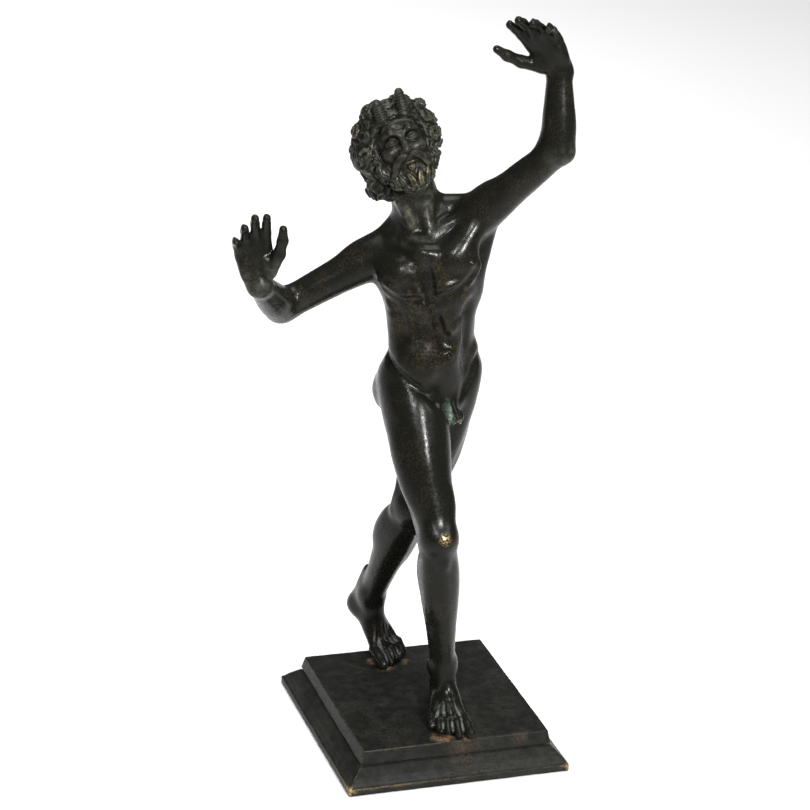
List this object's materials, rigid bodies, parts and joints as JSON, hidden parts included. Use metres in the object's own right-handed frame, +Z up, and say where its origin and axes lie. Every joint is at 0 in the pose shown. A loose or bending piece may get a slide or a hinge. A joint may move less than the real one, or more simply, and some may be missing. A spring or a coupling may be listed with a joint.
{
  "type": "faun statue",
  "caption": "Small cast bronze of a dancing bearded faun with short horns, one arm raised and one bent, striding on a stepped square plinth.",
  "frame": {"origin": "middle of the plinth's flat underside", "axes": "+Z up, -Y the front edge of the plinth, +X to the right of someone who faces the front"},
  "size_m": [0.1121, 0.0847, 0.2485],
  "materials": {
    "bronze_figure": "cast bronze, dark brown-black wax patina, glossy on the raised forms, dull olive in the hollows, bare metal rubbed through at the tips",
    "bronze_plinth": "cast bronze plate, dark patina duller than the figure, fine grain, bright metal along the worn edges and corners"
  },
  "bodies": {
    "root": {"faun_figure": "bronze_figure", "plinth": "bronze_plinth"}
  },
  "joints": []
}
